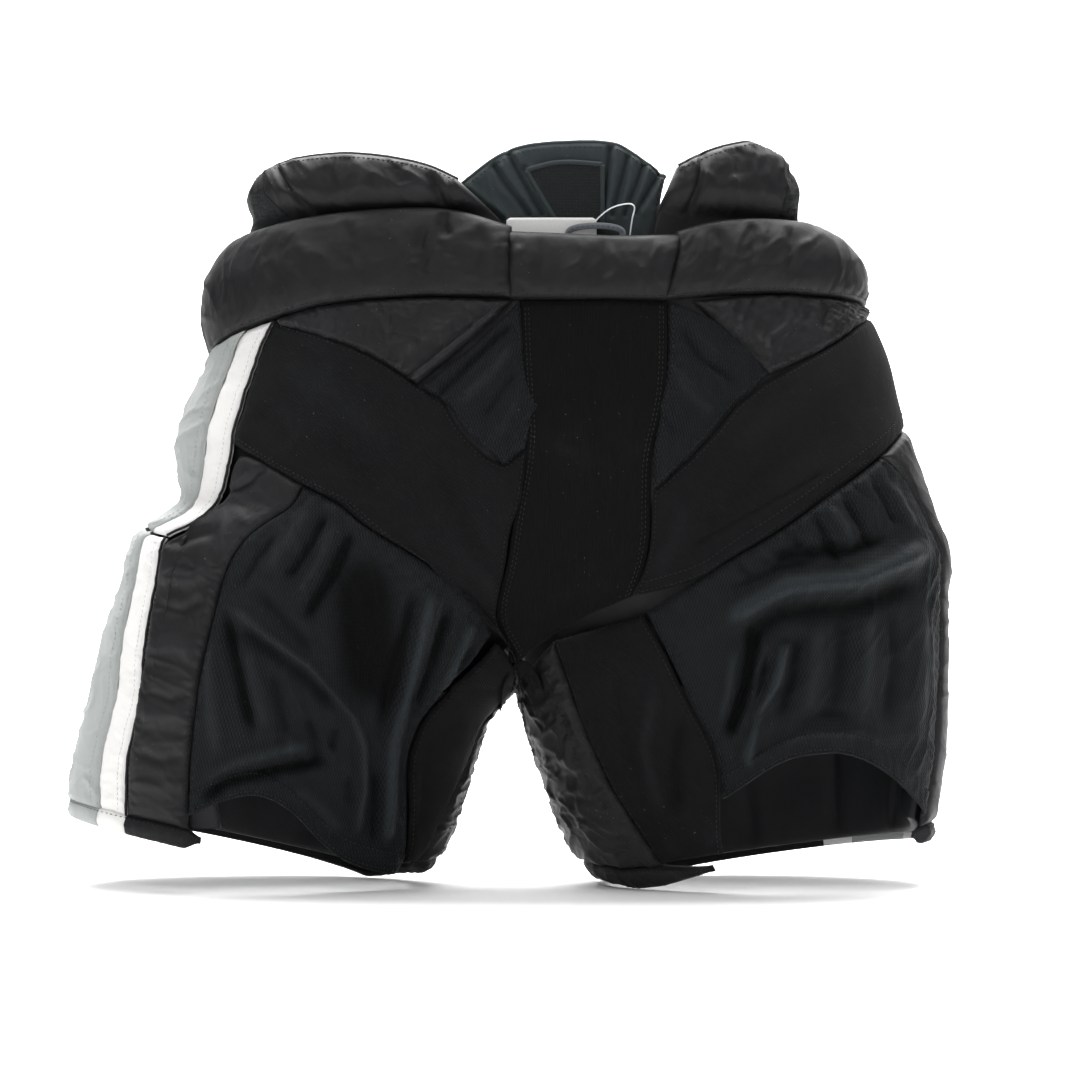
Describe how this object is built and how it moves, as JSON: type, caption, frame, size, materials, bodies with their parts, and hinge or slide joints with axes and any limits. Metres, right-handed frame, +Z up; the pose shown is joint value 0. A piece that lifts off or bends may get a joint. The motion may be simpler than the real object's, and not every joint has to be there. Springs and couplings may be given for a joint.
{
  "type": "hockey pants",
  "caption": "Ice hockey pants: padded shorts with stretch flex bands, mesh backs, side stripes and a floating spine and kidney guard above the waistband.",
  "frame": {"origin": "under the middle of the bounding box, on the surface that the leg hems stand on", "axes": "+Z up, +Y to the wearer's front, so the back faces -Y; +X to the wearer's right"},
  "size_m": [0.738, 0.2316, 0.6168],
  "materials": {
    "nylon": "black nylon, light sheen",
    "stretch": "matte black stretch knit",
    "mesh": "shiny black tricot mesh",
    "white": "white nylon",
    "grey": "grey nylon",
    "spine": "dark green spandex",
    "foam": "padding in a smooth dark lining",
    "plate": "moulded polyethylene",
    "webbing": "woven tape",
    "metal": "brushed",
    "card": "blank white card",
    "clip": "clear white plastic"
  },
  "bodies": {
    "waist": {"waistband_centre": "nylon", "waistband_left": "nylon", "waistband_right": "nylon", "seat_panel": "stretch", "seat_mesh_left": "mesh", "seat_mesh_right": "mesh", "yoke_left": "nylon", "yoke_right": "nylon", "flex_band_left": "stretch", "flex_band_right": "stretch", "tailbone_pad": "foam", "hip_pad_left": "foam", "hip_pad_right": "foam", "hip_plate_left": "plate", "hip_plate_right": "plate", "hip_stripe_white_left": "white", "hip_stripe_white_right": "white", "hip_stripe_grey_left": "grey", "hip_stripe_grey_right": "grey", "front_panel_left": "nylon", "front_panel_right": "nylon", "front_flex_left": "stretch", "front_flex_right": "stretch", "fly_tongue": "nylon", "fly_facing": "nylon", "belt": "webbing", "buckle_frame": "metal", "hang_loop": "webbing", "waist_liner": "foam", "crotch_gusset": "stretch"},
    "leg_left": {"outer_leg_panel_left": "nylon", "thigh_stripe_white_left": "white", "thigh_stripe_grey_left": "grey", "hamstring_mesh_left": "mesh", "inner_leg_panel_left": "nylon", "inner_stretch_panel_left": "stretch", "thigh_cover_left": "nylon", "thigh_plate_left": "plate", "thigh_foam_left": "foam", "leg_hem_left": "nylon"},
    "leg_right": {"outer_leg_panel_right": "nylon", "thigh_stripe_white_right": "white", "thigh_stripe_grey_right": "grey", "hamstring_mesh_right": "mesh", "inner_leg_panel_right": "nylon", "inner_stretch_panel_right": "stretch", "thigh_cover_right": "nylon", "thigh_plate_right": "plate", "thigh_foam_right": "foam", "leg_hem_right": "nylon"},
    "back_guard": {"spine_pad": "spine", "spine_vent": "mesh", "spine_plate": "plate", "kidney_pad_left": "nylon", "kidney_pad_right": "nylon", "kidney_vent_left": "mesh", "kidney_vent_right": "mesh"},
    "buckle_lever": {"buckle_lever": "metal"},
    "tag": {"swing_tag": "card", "tag_loop": "clip"}
  },
  "joints": [
    {"name": "leg_left_flex", "type": "hinge", "parent": "waist", "child": "leg_left", "pos_m": [-0.18, 0.02295, 0.25872], "axis": [1, 0, 0], "range_deg": [0, 30], "deforming": ["flex_band_left", "front_flex_left", "hip_stripe_white_left", "hip_stripe_grey_left"]},
    {"name": "leg_right_flex", "type": "hinge", "parent": "waist", "child": "leg_right", "pos_m": [0.18, 0.02295, 0.25872], "axis": [1, 0, 0], "range_deg": [0, 30], "deforming": ["flex_band_right", "front_flex_right", "hip_stripe_white_right", "hip_stripe_grey_right"]},
    {"name": "back_guard_tilt", "type": "hinge", "parent": "waist", "child": "back_guard", "pos_m": [0.045, -0.07205, 0.51072], "axis": [1, 0, 0], "range_deg": [-16, 4]},
    {"name": "buckle_lever_turn", "type": "hinge", "parent": "waist", "child": "buckle_lever", "pos_m": [-0.03432, 0.11076, 0.46372], "axis": [0, 0, 1], "range_deg": [0, 110]},
    {"name": "tag_slide", "type": "slide", "parent": "waist", "child": "tag", "axis": [0, 0, 1], "range_m": [0, 0.02]}
  ]
}
